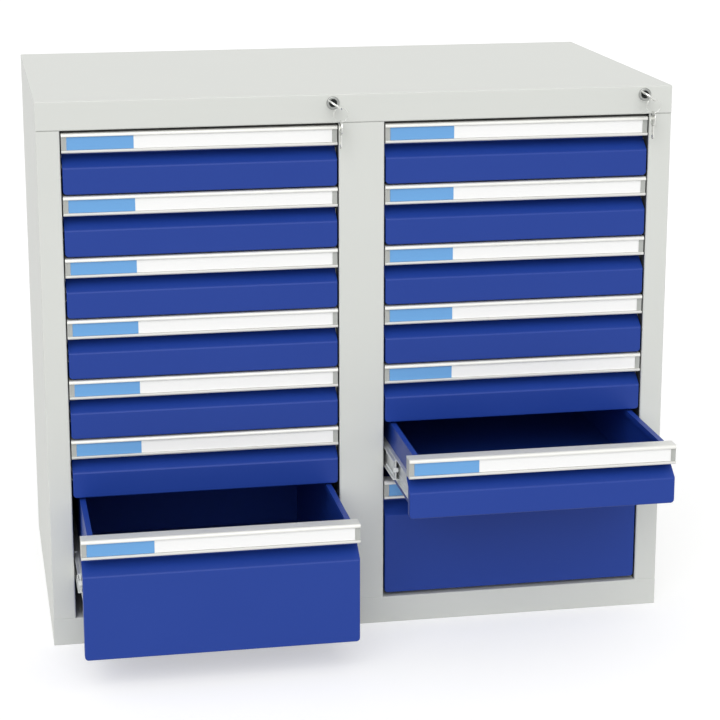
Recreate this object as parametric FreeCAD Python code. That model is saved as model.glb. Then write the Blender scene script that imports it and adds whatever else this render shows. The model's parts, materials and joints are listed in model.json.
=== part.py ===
import FreeCAD, Part
import math
import os
from FreeCAD import Vector

# Two-bay steel drawer cabinet. Millimetres, +Z up, the front faces -Y, and the origin
# is on the floor at the middle of the carcass.

# ---------------------------------------------------------------- driving dimensions
# Carcass
BAY_WIDTH = 441.0            # clear opening of one bay
CABINET_DEPTH = 600.0
OUTER_STILE = 37.0           # front face of each side panel
CENTRE_STILE = 74.0          # front face of the centre partition
TOP_BAND = 46.0
BOTTOM_BAND = 46.0
CARCASS_SHEET = 1.5
CARCASS_BEND = 1.5           # outside radius of the carcass's outer folds
OPENING_BEND = 2.5           # and of the folds round the drawers
STILE_RETURN = 26.0          # fold behind each outer stile
BAND_RETURN = 22.0           # fold behind the top and bottom bands
REAR_DROP = 25.0             # fold down the back of the top cover
REAR_FLANGE = 15.0
REAR_SHEET = 1.0
SWAGE_DEPTH = 5.0            # pressed ribs of the rear panel
SWAGE_WIDTH = 24.0
SWAGES = 6
SKID_WIDTH = 60.0            # channel under the centre partition
RUNNER_PANEL_REAR_GAP = 16.0

# Drawer fronts
SMALL_PITCH = 100.0
TALL_PITCH = 200.0
SMALL_DRAWERS = 6            # in each bay, above one tall drawer
FRONT_GAP = 2.5              # between one front and the next
TOP_GAP = 4.0
BOTTOM_GAP = 6.5
PANEL_SIDE_GAP = 2.6         # between a front panel and the opening's edge
HANDLE_SIDE_GAP = 2.0
FRONT_RECESS = 1.0           # front panels lie this far behind the carcass front
FRONT_SHEET = 1.2
PANEL_RETURN = 14.0          # folds behind the front panel
PANEL_CORNER = 6.0           # radius of its two lower corners
GRIP_DEPTH = 25.0            # set-back of the wall behind the handle
SLOPE_HEIGHT = 18.0          # from that wall out to the crease
SMALL_CREASE_DROP = 55.5     # crease below the top of the front
TALL_CREASE_DROP = 60.0
CREASE_RADIUS = 1.2          # outside radius of the bend at the crease

# Drawer boxes
BOX_SHEET = 1.0
SLIDE_SPACE = 13.0           # between a box side and the bay wall
BOX_DROP = 1.0               # rim below the top of the front
FLOOR_RAISE = 6.0            # drawer floor above the bottom of the front
HEM_WIDTH = 9.0              # rolled rim of the box sides
HEM_DROP = 9.0
BOX_REAR_CLEARANCE = 25.0

# Handles
HANDLE_HEIGHT = 32.0
HANDLE_WALL = 2.5
UPPER_LIP = 6.0
LOWER_LIP = 5.0
NOSE_RADIUS = 5.0
LOWER_NOSE_RADIUS = 3.0
WEB_SETBACK = 4.0            # front of the web behind the lips
LABEL_THICKNESS = 1.6
LABEL_END_GAP = 9.0          # bare web at each end of the label
LABEL_CLEARANCE = 0.4
END_CAP_WIDTH = 8.0

# Telescopic slides
RAIL_HEIGHT = 36.0
RAIL_SHEET = 1.2
RAIL_DEPTH = 6.2             # of the wall member and of the drawer member
RAIL_CLEARANCE = 0.3
RAIL_LENGTH = 500.0
RAIL_SETBACK = 29.0          # front ends behind the carcass front
MEMBER_GAP = 1.0             # drawer member behind the folds and the slope of the front
SMALL_RAIL_DROP = 38.5       # rail top below the drawer's rim
TALL_RAIL_DROP = 98.0

# Locks
LOCK_DROP = 13.5             # lock axis below the top of the cabinet
LOCK_FLANGE_RADIUS = 10.5
LOCK_FLANGE = 2.5
LOCK_BODY_RADIUS = 9.0
LOCK_BODY_LENGTH = 28.0      # behind the front of the carcass
PLUG_RADIUS = 6.5
LOCK_FIT = 0.05              # radial clearance of the plug
NUT_SIDES = 6
NUT_ACROSS_FLATS = 22.0
NUT_THICKNESS = 4.0
CAM_HALF_WIDTH = 5.0
CAM_RIM = 1.5                # arm beyond the pin
CAM_THICKNESS = 3.0
CAM_GAP = 0.5                # cam arm behind the lock body
PIN_RADIUS = 2.0
PIN_OFFSET = 7.0             # cam pin from the lock axis
PIN_LENGTH = 11.0
KEY_TURN = 90.0              # degrees from open to locked

# Lock bars
BAR_THICKNESS = 2.5
BAR_WIDTH = 18.0
BAR_GAP = 0.5                # behind the bay wall
BAR_SETBACK = 38.0           # front edge behind the carcass front
BAR_FOOT_GAP = 14.0          # lower end above the cabinet floor
HEAD_HALF_HEIGHT = 6.0
HEAD_THICKNESS = 2.5
HEAD_SLOT_CLEARANCE = 0.35
HOOK_THICKNESS = 3.0
HOOK_WIDTH = 8.0
HOOK_REACH = 7.5             # into the slide space
HOOK_SLOT_GAP = 0.6
CATCH_DROP = 10.0            # catch plate below the drawer's rim
CATCH_HEIGHT = 14.0
CATCH_REACH = 9.0
CATCH_SHEET = 2.0
CATCH_FOOT = 14.0
CATCH_GAP = 1.0              # between a hook and its catch

# Keys
KEY_SHEET = 2.2
KEY_BOW_RADIUS = 14.0
KEY_HOLE_RADIUS = 3.8
KEY_HOLE_OFFSET = 8.5        # across the bow, from the lock axis
KEY_REST_ANGLE = -35.0       # degrees of the hole from +X, seen from the front
KEY_STAND_OFF = 20.0         # bow centre in front of the carcass
KEY_BLADE_WIDTH = 8.0
KEY_BLADE_DEPTH = 18.0       # blade inside the plug
KEY_FIT = 0.1
KEY_BITS = 4
ROUND_SIDES = 24             # keys and rings are drawn with this many short flats
RING_RADIUS = 11.2
RING_WIRE = 0.8              # half its square section
RING_SIDE_SHIFT = 2.0        # ring centre from the hole centre
RING_DROP = 11.4
SPARE_SHEET = 1.8
SPARE_BOW_RADIUS = 12.0
SPARE_HOLE_RADIUS = 3.0
SPARE_HOLE_OFFSET = 7.5
SPARE_BLADE = 21.0
SPARE_CLEARANCE = 0.6        # between the spare key and the path of the handles

# Drawers left open, counted from the top, and how far
OPEN_DRAWERS = {("left", 7): 200.0, ("right", 6): 200.0}

# ---------------------------------------------------------------- derived places
STACK = SMALL_DRAWERS * SMALL_PITCH + TALL_PITCH
OPENING_HEIGHT = TOP_GAP + STACK - FRONT_GAP + BOTTOM_GAP
CABINET_HEIGHT = BOTTOM_BAND + OPENING_HEIGHT + TOP_BAND
CABINET_WIDTH = 2 * BAY_WIDTH + 2 * OUTER_STILE + CENTRE_STILE
OPENING_TOP = BOTTOM_BAND + OPENING_HEIGHT

SIDE = CABINET_WIDTH / 2
FRONT = -CABINET_DEPTH / 2
BACK = CABINET_DEPTH / 2
FACE = FRONT + FRONT_RECESS                      # plane of the drawer fronts
GRIP_WALL = FACE + GRIP_DEPTH
BOX_FRONT = GRIP_WALL + FRONT_SHEET              # inner face of a drawer's front wall
REAR_PANEL_FRONT = BACK - CARCASS_SHEET - REAR_SHEET
BOX_REAR = REAR_PANEL_FRONT - BOX_REAR_CLEARANCE
UNDER_TOP = CABINET_HEIGHT - CARCASS_SHEET
BAY_LEFT = {"left": -SIDE + OUTER_STILE, "right": CENTRE_STILE / 2}
BAY_RIGHT = {bay: BAY_LEFT[bay] + BAY_WIDTH for bay in BAY_LEFT}

LOCK_Z = CABINET_HEIGHT - LOCK_DROP
REST_RADIANS = math.radians(KEY_REST_ANGLE)
RING_OFFSET = KEY_HOLE_OFFSET * math.cos(REST_RADIANS) + RING_SIDE_SHIFT
SPARE_FROM_EDGE = HANDLE_SIDE_GAP - SPARE_CLEARANCE - SPARE_SHEET / 2
LOCK_X = {bay: BAY_RIGHT[bay] - SPARE_FROM_EDGE - RING_OFFSET for bay in BAY_RIGHT}
KEY_PLANE = FRONT - KEY_STAND_OFF

BAR_FRONT = FRONT + BAR_SETBACK
BAR_TRAVEL = 2 * PIN_OFFSET * math.sin(math.radians(KEY_TURN / 2))
HOOK_FRONT = BAR_FRONT + (BAR_WIDTH - HOOK_WIDTH) / 2
CATCH_FRONT = HOOK_FRONT + HOOK_WIDTH + CATCH_GAP

AXES = {"xy": Vector(0, 0, 1), "yz": Vector(1, 0, 0), "xz": Vector(0, 1, 0)}


# ---------------------------------------------------------------- drawing helpers
def place(plane, u, v):
    """Point of a section plane, given by its two axes in name order."""
    points = {"xy": Vector(u, v, 0), "yz": Vector(0, u, v), "xz": Vector(u, 0, v)}
    return points[plane]


def rounded_wire(corners, plane):
    """Closed wire through (u, v, radius) corners; radius 0 leaves a corner sharp."""
    marks = []
    for i, (u, v, radius) in enumerate(corners):
        here = place(plane, u, v)
        if radius <= 0:
            marks.append((here, None, here))
            continue
        before = place(plane, *corners[i - 1][:2]) - here
        after = place(plane, *corners[(i + 1) % len(corners)][:2]) - here
        before.normalize()
        after.normalize()
        half = before.getAngle(after) / 2
        tangent = radius / math.tan(half)
        middle = before + after
        middle.normalize()
        top = here + middle * (radius / math.sin(half) - radius)
        marks.append((here + before * tangent, top, here + after * tangent))
    edges = []
    for i, (start, top, end) in enumerate(marks):
        if top is not None:
            edges.append(Part.Arc(start, top, end).toShape())
        following = marks[(i + 1) % len(marks)][0]
        if end.distanceToPoint(following) > 1e-6:
            edges.append(Part.LineSegment(end, following).toShape())
    return Part.Wire(edges)


def extrusion(corners, plane, start, end):
    """Prism of a rounded outline, from start to end along the plane's normal."""
    solid = Part.Face(rounded_wire(corners, plane)).extrude(AXES[plane] * (end - start))
    solid.translate(AXES[plane] * start)
    return solid


def folded_strip(path, thickness):
    """Outline of sheet folded along an open path, with its thickness to the left.

    A corner (u, v, radius) gets that radius outside the fold; (u, v) is a sharp fold.
    """
    near, far = [], []
    last = len(path) - 1
    for i, (u, v, *radius) in enumerate(path):
        before = unit(path[i - 1], path[i]) if i > 0 else None
        after = unit(path[i], path[i + 1]) if i < last else None
        first, second = before or after, after or before
        left_a, left_b = (-first[1], first[0]), (-second[1], second[0])
        scale = thickness / (1 + left_a[0] * left_b[0] + left_a[1] * left_b[1])
        turn = first[0] * second[1] - first[1] * second[0]
        outer = radius[0] if radius else 0
        inner = max(outer - thickness, 0)
        near.append((u, v, outer if turn > 0 else inner))
        far.append((u + (left_a[0] + left_b[0]) * scale,
                    v + (left_a[1] + left_b[1]) * scale, inner if turn > 0 else outer))
    return near + far[::-1]


def unit(a, b):
    """Direction from a to b in a section plane."""
    length = math.hypot(b[0] - a[0], b[1] - a[1])
    return (b[0] - a[0]) / length, (b[1] - a[1]) / length


def block(x, y, z):
    """Box between the (low, high) pairs of the three axes."""
    return Part.makeBox(x[1] - x[0], y[1] - y[0], z[1] - z[0], Vector(x[0], y[0], z[0]))


def rod(radius, x, y, z):
    """Round bar along Y between the (low, high) pair y."""
    return Part.makeCylinder(radius, y[1] - y[0], Vector(x, y[0], z), Vector(0, 1, 0))


def polygon(sides, apothem, u, v):
    """Sharp corners of a regular outline about (u, v), with a flat side on top."""
    radius = apothem / math.cos(math.pi / sides)
    corners = []
    for i in range(sides):
        angle = 2 * math.pi * (i + 0.5) / sides + math.pi / 2
        corners.append((u + radius * math.cos(angle), v + radius * math.sin(angle), 0))
    return corners


def mirrored(shape):
    """The same piece for the other side of the cabinet."""
    return shape.mirror(Vector(0, 0, 0), Vector(1, 0, 0))


def joined(shapes):
    """One welded solid."""
    return shapes[0].fuse(shapes[1:]).removeSplitter()


def save(node, *solids):
    """Write one sub-part, as one solid or as a group of separate solids."""
    shape = solids[0] if len(solids) == 1 else Part.makeCompound(list(solids))
    shape.exportStep("parts/" + node + ".step")


# ---------------------------------------------------------------- drawer places
def drawer_layout():
    """Yield bay, number, bottom of the front, pitch and rail drop of every drawer."""
    for bay in ("left", "right"):
        top = OPENING_TOP - TOP_GAP + FRONT_GAP
        for number in range(1, SMALL_DRAWERS + 2):
            tall = number > SMALL_DRAWERS
            pitch = TALL_PITCH if tall else SMALL_PITCH
            top -= pitch
            yield bay, number, top, pitch, TALL_RAIL_DROP if tall else SMALL_RAIL_DROP


def rim_height(bottom, pitch):
    """Height of a drawer's rolled rim."""
    return bottom + pitch - FRONT_GAP - BOX_DROP


def crease_height(bottom, pitch):
    """Height of the crease of a drawer's front."""
    drop = TALL_CREASE_DROP if pitch == TALL_PITCH else SMALL_CREASE_DROP
    return bottom + pitch - FRONT_GAP - drop


# ---------------------------------------------------------------- carcass
def side_panel():
    """Left side: wall, front stile with its return, and rear flange, in one sheet."""
    section = folded_strip([(-SIDE + REAR_FLANGE, BACK), (-SIDE, BACK, CARCASS_BEND),
                            (-SIDE, FRONT, CARCASS_BEND),
                            (-SIDE + OUTER_STILE, FRONT, OPENING_BEND),
                            (-SIDE + OUTER_STILE, FRONT + STILE_RETURN)], CARCASS_SHEET)
    panel = extrusion(section, "xy", 0, UNDER_TOP)
    inner = -SIDE + CARCASS_SHEET
    past = 2 * STILE_RETURN
    for low, high, back_low, back_high in (
            (-past, BOTTOM_BAND, -past, BOTTOM_BAND),
            (OPENING_TOP, CABINET_HEIGHT, CABINET_HEIGHT - REAR_DROP, CABINET_HEIGHT)):
        panel = panel.cut(block((inner, inner + past), (FRONT - past, FRONT + past), (low, high)))
        panel = panel.cut(block((-SIDE - past, inner + past),
                                (FRONT - past, FRONT + CARCASS_SHEET), (low, high)))
        panel = panel.cut(block((-SIDE - past, inner + past),
                                (BACK - CARCASS_SHEET, BACK + past), (back_low, back_high)))
    return panel


def runner_panel():
    """Left runner panel: web in line with the opening's edge, flanges to the side wall."""
    wall = -SIDE + CARCASS_SHEET
    edge = BAY_LEFT["left"]
    front = FRONT + STILE_RETURN
    rear = REAR_PANEL_FRONT - RUNNER_PANEL_REAR_GAP
    section = folded_strip([(wall, front), (edge, front), (edge, rear), (wall, rear)],
                           CARCASS_SHEET)
    return extrusion(section, "xy", BOTTOM_BAND, OPENING_TOP)


def hook_slots(wall_low):
    """Cutters for the slots that the lock bar's hooks pass through."""
    cutters = []
    for bay, number, bottom, pitch, rail_drop in drawer_layout():
        if bay == "left":
            low = hook_bottom(bottom, pitch) - HOOK_SLOT_GAP
            high = hook_bottom(bottom, pitch) + HOOK_THICKNESS + BAR_TRAVEL + HOOK_SLOT_GAP
            cutters.append(block((wall_low - CARCASS_SHEET, wall_low + 2 * CARCASS_SHEET),
                                 (HOOK_FRONT - HOOK_SLOT_GAP,
                                  HOOK_FRONT + HOOK_WIDTH + HOOK_SLOT_GAP), (low, high)))
    return cutters


def centre_partition():
    """Centre stile and both inner walls, folded from one sheet and open at the back."""
    half = CENTRE_STILE / 2
    rear = REAR_PANEL_FRONT - SWAGE_DEPTH
    section = folded_strip([(-half, rear), (-half, FRONT, OPENING_BEND),
                            (half, FRONT, OPENING_BEND), (half, rear)], CARCASS_SHEET)
    partition = extrusion(section, "xy", BOTTOM_BAND, UNDER_TOP)
    head_room = block((-CENTRE_STILE, CENTRE_STILE), (FRONT - CARCASS_SHEET, BAR_FRONT + 2 * BAR_WIDTH),
                      (OPENING_TOP, CABINET_HEIGHT))
    return partition.cut([head_room] + hook_slots(-half))


def top_cover():
    """Top sheet, folded down as the front band and as a short drop at the back."""
    section = folded_strip([(BACK, CABINET_HEIGHT - REAR_DROP),
                            (BACK, CABINET_HEIGHT, CARCASS_BEND),
                            (FRONT, CABINET_HEIGHT, CARCASS_BEND),
                            (FRONT, OPENING_TOP, OPENING_BEND),
                            (FRONT + BAND_RETURN, OPENING_TOP)], CARCASS_SHEET)
    cover = extrusion(section, "yz", -SIDE, SIDE)
    inner = SIDE - CARCASS_SHEET
    for low, high in ((-SIDE - 1, -inner), (inner, SIDE + 1)):
        cover = cover.cut(block((low, high), (FRONT + CARCASS_SHEET, FRONT + 2 * BAND_RETURN),
                                (OPENING_TOP - TOP_BAND, UNDER_TOP)))
    for bay in ("left", "right"):
        cover = cover.cut(rod(LOCK_BODY_RADIUS, LOCK_X[bay],
                              (FRONT - CARCASS_SHEET, FRONT + 2 * CARCASS_SHEET), LOCK_Z))
    return cover


def base_pan():
    """Cabinet floor, folded down as the bottom band, the back and their foot flanges."""
    section = folded_strip([(BACK - BAND_RETURN, 0), (BACK, 0), (BACK, BOTTOM_BAND),
                            (FRONT, BOTTOM_BAND, CARCASS_BEND), (FRONT, 0, CARCASS_BEND),
                            (FRONT + BAND_RETURN, 0)], CARCASS_SHEET)
    pan = extrusion(section, "yz", -SIDE, SIDE)
    inner = SIDE - CARCASS_SHEET
    for low, high in ((-SIDE - 1, -inner), (inner, SIDE + 1)):
        pan = pan.cut(block((low, high), (FRONT + CARCASS_SHEET, BACK - CARCASS_SHEET),
                            (-1, BOTTOM_BAND + 1)))
    half = SKID_WIDTH / 2
    under_floor = BOTTOM_BAND - CARCASS_SHEET
    skid = folded_strip([(-half, under_floor), (-half, 0), (half, 0), (half, under_floor)],
                        CARCASS_SHEET)
    run = CABINET_DEPTH / 2 - BAND_RETURN
    return joined([pan, extrusion(skid, "xz", -run, run)])


def rear_panel():
    """Thin back with pressed upright ribs, held between the rear flanges and the drop."""
    inner = SIDE - CARCASS_SHEET
    outer_face = BACK - CARCASS_SHEET
    path = [(inner, outer_face)]
    for i in range(SWAGES):
        middle = inner - (i + 0.5) * 2 * inner / SWAGES
        for offset, depth in ((0.5, 0), (0.3, SWAGE_DEPTH), (-0.3, SWAGE_DEPTH), (-0.5, 0)):
            path.append((middle + offset * SWAGE_WIDTH, outer_face - depth))
    path.append((-inner, outer_face))
    return extrusion(folded_strip(path, REAR_SHEET), "xy", BOTTOM_BAND, UNDER_TOP)


# ---------------------------------------------------------------- slides
def rail_channel(bay, on_right, on_drawer, low):
    """C channel of a slide in the closed place: its web on the bay wall or on the drawer."""
    wall = BAY_RIGHT[bay] if on_right else BAY_LEFT[bay]
    inward = -1 if on_right else 1
    web = wall + inward * (SLIDE_SPACE if on_drawer else 0)
    if on_drawer:
        inward = -inward
    lip = web + inward * RAIL_DEPTH
    path = [(lip, low + RAIL_HEIGHT), (web, low + RAIL_HEIGHT), (web, low), (lip, low)]
    if inward < 0:
        path.reverse()
    section = folded_strip(path, RAIL_SHEET)
    start = FACE + PANEL_RETURN + MEMBER_GAP if on_drawer else FRONT + RAIL_SETBACK
    return extrusion(section, "xz", start, start + RAIL_LENGTH)


def drawer_member(bay, on_right, low, crease):
    """Slide channel on the drawer, with its front end cut back along the slope."""
    end = FACE + PANEL_RETURN + MEMBER_GAP
    rise = SLOPE_HEIGHT / GRIP_DEPTH
    room = (FRONT_SHEET + MEMBER_GAP) * math.hypot(1, rise)
    foot = crease + (end - FACE) * rise - room
    top = low + 2 * RAIL_HEIGHT
    clearance = extrusion([(end, foot, 0), (end + (top - foot) / rise, top, 0), (end, top, 0)],
                          "yz", BAY_LEFT[bay], BAY_RIGHT[bay])
    return rail_channel(bay, on_right, True, low).cut(clearance)


def middle_rail(bay, on_right, low):
    """I section of a slide, which runs inside both channels."""
    wall = BAY_RIGHT[bay] if on_right else BAY_LEFT[bay]
    inward = -1 if on_right else 1
    centre = wall + inward * SLIDE_SPACE / 2
    half = SLIDE_SPACE / 2 - RAIL_SHEET - RAIL_CLEARANCE
    web = RAIL_SHEET / 2
    bottom = low + RAIL_SHEET + RAIL_CLEARANCE
    top = low + RAIL_HEIGHT - RAIL_SHEET - RAIL_CLEARANCE
    outline = []
    for side, ends in ((1, (bottom, top)), (-1, (top, bottom))):
        toward = RAIL_SHEET if ends[0] < ends[1] else -RAIL_SHEET
        outline += [(side * half, ends[0]), (side * half, ends[0] + toward),
                    (side * web, ends[0] + toward), (side * web, ends[1] - toward),
                    (side * half, ends[1] - toward), (side * half, ends[1])]
    start = FRONT + RAIL_SETBACK
    return extrusion([(centre + u, v, 0) for u, v in outline], "xz", start, start + RAIL_LENGTH)


# ---------------------------------------------------------------- drawers
def front_panel(left, right, bottom, pitch):
    """Pressed front: grip wall, slope, crease and face, with folds behind its edges."""
    crease = crease_height(bottom, pitch)
    grip_foot = crease + SLOPE_HEIGHT
    wall_top = bottom + pitch - FRONT_GAP - HANDLE_WALL
    fold = FACE + PANEL_RETURN
    rise = SLOPE_HEIGHT / GRIP_DEPTH
    lean = math.hypot(1, rise)                       # upright depth of the sloped sheet

    def tray(inset):
        """Block behind the pressed face, inset by the sheet, and its two lower corner edges."""
        back = fold + inset
        outline = [(FACE + inset, bottom + inset, 0), (back, bottom + inset, 0),
                   (back, crease + (back - FACE) * rise - inset * lean, 0),
                   (FACE + inset, crease + inset * (rise - lean), 0)]
        solid = extrusion(outline, "yz", left + inset, right - inset)
        low_edges = [edge for edge in solid.Edges
                     if all(abs(vertex.Z - bottom - inset) < 1e-6 for vertex in edge.Vertexes)
                     and abs(edge.Vertexes[0].Y - edge.Vertexes[-1].Y) > FRONT_SHEET]
        return solid, low_edges

    outer, outer_corners = tray(0)
    hollow, hollow_corners = tray(FRONT_SHEET)
    pressed = outer.makeFillet(PANEL_CORNER, outer_corners).cut(
        hollow.makeChamfer(PANEL_CORNER / 2, hollow_corners))
    skin = folded_strip([(GRIP_WALL, wall_top), (GRIP_WALL, grip_foot),
                         (FACE, crease, CREASE_RADIUS), (FACE, crease - SLOPE_HEIGHT)], FRONT_SHEET)
    return pressed.fuse(extrusion(skin, "yz", left, right)), grip_foot


def drawer_shell(bay, bottom, pitch):
    """Welded drawer: front, floor and rolled sides in one trough, back and lock catch."""
    rim = rim_height(bottom, pitch)
    floor = bottom + FLOOR_RAISE
    left = BAY_LEFT[bay] + SLIDE_SPACE
    right = BAY_RIGHT[bay] - SLIDE_SPACE
    front, grip_foot = front_panel(BAY_LEFT[bay] + PANEL_SIDE_GAP,
                                   BAY_RIGHT[bay] - PANEL_SIDE_GAP, bottom, pitch)
    trough = folded_strip([(left + HEM_WIDTH, rim - HEM_DROP), (left + HEM_WIDTH, rim), (left, rim),
                           (left, floor), (right, floor), (right, rim), (right - HEM_WIDTH, rim),
                           (right - HEM_WIDTH, rim - HEM_DROP)], BOX_SHEET)
    sides = extrusion(trough, "xz", BOX_FRONT, BOX_REAR)
    inner_front = block((left, right), (GRIP_WALL, BOX_FRONT), (floor, grip_foot))
    back = folded_strip([(BOX_REAR, floor), (BOX_REAR, rim), (BOX_REAR - HEM_WIDTH, rim)], BOX_SHEET)
    rear = extrusion(back, "yz", left, right)
    catch_top = rim - CATCH_DROP
    catch = folded_strip([(right + CATCH_REACH, CATCH_FRONT), (right, CATCH_FRONT),
                          (right, CATCH_FRONT + CATCH_FOOT)][::-1], CATCH_SHEET)
    bracket = extrusion(catch, "xy", catch_top - CATCH_HEIGHT, catch_top)
    return joined([front, sides, inner_front, rear, bracket])


def handle(bay, bottom, pitch):
    """Extruded grip with its label strip and the moulded caps that close its ends."""
    top = bottom + pitch - FRONT_GAP
    foot = top - HANDLE_HEIGHT
    left = BAY_LEFT[bay] + HANDLE_SIDE_GAP
    right = BAY_RIGHT[bay] - HANDLE_SIDE_GAP
    web = FACE + WEB_SETBACK
    web_back = web + HANDLE_WALL
    outline = [(BOX_FRONT, top, 0), (FACE, top, NOSE_RADIUS),
               (FACE, top - UPPER_LIP, 0), (web, top - UPPER_LIP, 0),
               (web, foot + LOWER_LIP, 0), (FACE, foot + LOWER_LIP, LOWER_NOSE_RADIUS),
               (FACE, foot, 0), (web_back, foot, 0),
               (web_back, top - HANDLE_WALL, 0), (BOX_FRONT, top - HANDLE_WALL, 0)]
    profile = extrusion(outline, "yz", left, right)
    label = block((left + LABEL_END_GAP, right - LABEL_END_GAP), (web - LABEL_THICKNESS, web),
                  (foot + LOWER_LIP + LABEL_CLEARANCE, top - UPPER_LIP - LABEL_CLEARANCE))
    caps = []
    for low in (left, right - END_CAP_WIDTH):
        caps.append(block((low, low + END_CAP_WIDTH), (web_back, GRIP_WALL),
                          (foot, top - HANDLE_WALL)))
    return [profile, label] + caps


# ---------------------------------------------------------------- locks and keys
def lock_housing(bay):
    """Barrel with its flange in front of the band, and the nut behind the band."""
    x = LOCK_X[bay]
    barrel = rod(LOCK_BODY_RADIUS, x, (FRONT, FRONT + LOCK_BODY_LENGTH), LOCK_Z)
    flange = rod(LOCK_FLANGE_RADIUS, x, (FRONT - LOCK_FLANGE, FRONT), LOCK_Z)
    inside = FRONT + CARCASS_SHEET
    nut = extrusion(polygon(NUT_SIDES, NUT_ACROSS_FLATS / 2, x, LOCK_Z), "xz",
                    inside, inside + NUT_THICKNESS)
    nut = nut.cut(rod(LOCK_BODY_RADIUS, x, (inside - 1, inside + NUT_THICKNESS + 1), LOCK_Z))
    bore = rod(PLUG_RADIUS + LOCK_FIT, x, (FRONT - 2 * LOCK_FLANGE, FRONT + 2 * LOCK_BODY_LENGTH), LOCK_Z)
    return [joined([barrel, flange]).cut(bore), nut]


def lock_plug(bay):
    """Plug with its key slot, cam arm and pin, turned to the open position."""
    x = LOCK_X[bay]
    cam_front = FRONT + LOCK_BODY_LENGTH + CAM_GAP
    plug = rod(PLUG_RADIUS, x, (FRONT - LOCK_FLANGE + CAM_GAP, cam_front), LOCK_Z)
    slot = block((x - KEY_BLADE_WIDTH / 2 - KEY_FIT, x + KEY_BLADE_WIDTH / 2 + KEY_FIT),
                 (FRONT - 2 * LOCK_FLANGE, FRONT + KEY_BLADE_DEPTH + KEY_FIT),
                 (LOCK_Z - KEY_SHEET / 2 - KEY_FIT, LOCK_Z + KEY_SHEET / 2 + KEY_FIT))
    plug = plug.cut(slot)
    plug.rotate(Vector(x, 0, LOCK_Z), Vector(0, -1, 0), KEY_REST_ANGLE)
    arm = block((x - PIN_OFFSET - PIN_RADIUS - CAM_RIM, x + CAM_HALF_WIDTH),
                (cam_front, cam_front + CAM_THICKNESS),
                (LOCK_Z - CAM_HALF_WIDTH, LOCK_Z + CAM_HALF_WIDTH))
    arm.rotate(Vector(x, 0, LOCK_Z), Vector(0, -1, 0), KEY_TURN / 2)
    pin_x, pin_z = pin_place(bay)
    pin_front = cam_front + CAM_THICKNESS
    return joined([plug, arm, rod(PIN_RADIUS, pin_x, (pin_front, pin_front + PIN_LENGTH), pin_z)])


def pin_place(bay):
    """Cam pin of an open lock, left of the axis and half the turn below it."""
    lean = math.radians(KEY_TURN / 2)
    return LOCK_X[bay] - PIN_OFFSET * math.cos(lean), LOCK_Z - PIN_OFFSET * math.sin(lean)


def key_hole(bay):
    """Centre of the hole in the bow of the key in the lock."""
    return (LOCK_X[bay] + KEY_HOLE_OFFSET * math.cos(REST_RADIANS),
            LOCK_Z + KEY_HOLE_OFFSET * math.sin(REST_RADIANS))


def lock_key(bay):
    """Flat key in the lock: round bow with an offset hole, and a blade with its bits."""
    x = LOCK_X[bay]
    low = LOCK_Z - KEY_SHEET / 2
    bow = extrusion(polygon(ROUND_SIDES, KEY_BOW_RADIUS, x, KEY_PLANE), "xy", low, low + KEY_SHEET)
    hole = extrusion(polygon(ROUND_SIDES, KEY_HOLE_RADIUS, x + KEY_HOLE_OFFSET, KEY_PLANE), "xy",
                     low - KEY_SHEET, low + 2 * KEY_SHEET)
    tip = FRONT + KEY_BLADE_DEPTH
    blade = block((x - KEY_BLADE_WIDTH / 2, x + KEY_BLADE_WIDTH / 2), (KEY_PLANE, tip),
                  (low, low + KEY_SHEET))
    key = joined([bow, blade]).cut([hole] + bit_cuts(x, tip, low))
    return key.rotate(Vector(x, 0, LOCK_Z), Vector(0, -1, 0), KEY_REST_ANGLE)


def bit_cuts(x, tip, low):
    """Notches along one edge of a key's blade."""
    step = KEY_BLADE_DEPTH / (KEY_BITS + 1)
    edge = x + KEY_BLADE_WIDTH / 2
    cuts = []
    for i in range(KEY_BITS):
        middle = tip - (i + 1) * step
        depth = KEY_BLADE_WIDTH * (0.15 + 0.1 * (i % 2))
        cuts.append(extrusion([(edge + 1, middle - step / 2, 0), (edge + 1, middle + step / 2, 0),
                               (edge - depth, middle, 0)], "xy", low - 1, low + KEY_SHEET + 1))
    return cuts


def key_ring(bay):
    """Wire ring through the key's bow, with the spare key hanging edge-on from it."""
    hole_x, hole_z = key_hole(bay)
    ring_x = hole_x + RING_SIDE_SHIFT
    ring_z = hole_z - RING_DROP
    wide, narrow = [extrusion(polygon(ROUND_SIDES, RING_RADIUS + wire, ring_x, ring_z), "xz",
                              KEY_PLANE - RING_WIRE, KEY_PLANE + RING_WIRE)
                    for wire in (RING_WIRE, -RING_WIRE)]
    ring = wide.cut(narrow)
    hang_z = ring_z - RING_RADIUS + RING_WIRE + KEY_FIT - SPARE_HOLE_RADIUS
    bow_z = hang_z - SPARE_HOLE_OFFSET
    side = ring_x - SPARE_SHEET / 2
    bow = extrusion(polygon(ROUND_SIDES, SPARE_BOW_RADIUS, KEY_PLANE, bow_z), "yz",
                    side, side + SPARE_SHEET)
    hole = extrusion(polygon(ROUND_SIDES, SPARE_HOLE_RADIUS, KEY_PLANE, hang_z), "yz",
                     side - SPARE_SHEET, side + 2 * SPARE_SHEET)
    half = KEY_BLADE_WIDTH / 2
    tip = bow_z - SPARE_BOW_RADIUS - SPARE_BLADE
    blade = extrusion([(KEY_PLANE - half, bow_z, 0), (KEY_PLANE - half, tip + half, 0),
                       (KEY_PLANE, tip, 0), (KEY_PLANE + half, tip + half, 0),
                       (KEY_PLANE + half, bow_z, 0)], "yz", side, side + SPARE_SHEET)
    return [ring, joined([bow, blade]).cut(hole)]


def hook_bottom(bottom, pitch):
    """Lower face of the hook of an unlocked bar."""
    return rim_height(bottom, pitch) - CATCH_DROP - CATCH_HEIGHT - CATCH_GAP - HOOK_THICKNESS


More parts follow.
